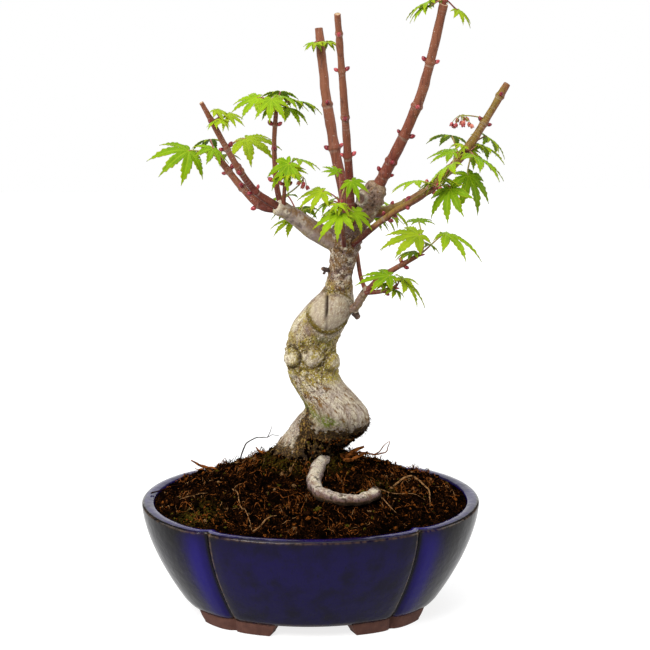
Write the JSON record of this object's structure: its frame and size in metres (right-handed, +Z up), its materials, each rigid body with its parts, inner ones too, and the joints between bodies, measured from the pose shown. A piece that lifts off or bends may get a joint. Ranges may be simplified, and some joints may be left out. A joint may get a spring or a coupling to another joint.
{
  "type": "bonsai tree in pot",
  "caption": "Young Japanese maple bonsai with a winding trunk and fresh spring leaves, standing in an oval lobed pot with a dark blue glaze and clay feet.",
  "frame": {"origin": "the middle of the whole plant and pot in plan, on the surface the pot stands on", "axes": "+Z up, +X to the right of the front view, +Y away from the front"},
  "size_m": [0.1975, 0.1458, 0.3278],
  "materials": {
    "old_bark": "rough grey-cream bark with moss",
    "shoot_bark": "smooth red-brown young bark",
    "leaves": "matte young leaf green",
    "blossom": "matte pink-red",
    "glaze": "glossy dark blue glaze",
    "bare_clay": "matte unglazed clay",
    "soil": "crumbly dark peat and grit"
  },
  "bodies": {
    "root": {"blossom_left": "blossom", "blossom_right": "blossom", "bough_back": "old_bark", "bough_left": "old_bark", "bough_low": "old_bark", "bough_right": "old_bark", "foliage_back": "leaves", "foliage_centre": "leaves", "foliage_left": "leaves", "foliage_left_back": "leaves", "foliage_left_inner": "leaves", "foliage_left_tip": "leaves", "foliage_left_top": "leaves", "foliage_low": "leaves", "foliage_low_back": "leaves", "foliage_low_front": "leaves", "foliage_middle_tip": "leaves", "foliage_right": "leaves", "foliage_right_back": "leaves", "foliage_right_front": "leaves", "foliage_right_tip": "leaves", "foot_back_left": "bare_clay", "foot_back_right": "bare_clay", "foot_front_left": "bare_clay", "foot_front_right": "bare_clay", "knuckle_right": "old_bark", "pot": "glaze", "shoot_left_high": "shoot_bark", "shoot_left_inner": "shoot_bark", "shoot_left_low": "shoot_bark", "shoot_left_upright": "shoot_bark", "shoot_low_front": "shoot_bark", "shoot_low_right": "shoot_bark", "shoot_middle_back": "shoot_bark", "shoot_middle_front": "shoot_bark", "shoot_right_front": "shoot_bark", "shoot_right_high": "shoot_bark", "soil": "soil", "spur_left_back": "shoot_bark", "surface_root": "old_bark", "trunk": "old_bark", "twig_front": "shoot_bark", "twig_low_back": "shoot_bark"}
  },
  "joints": []
}
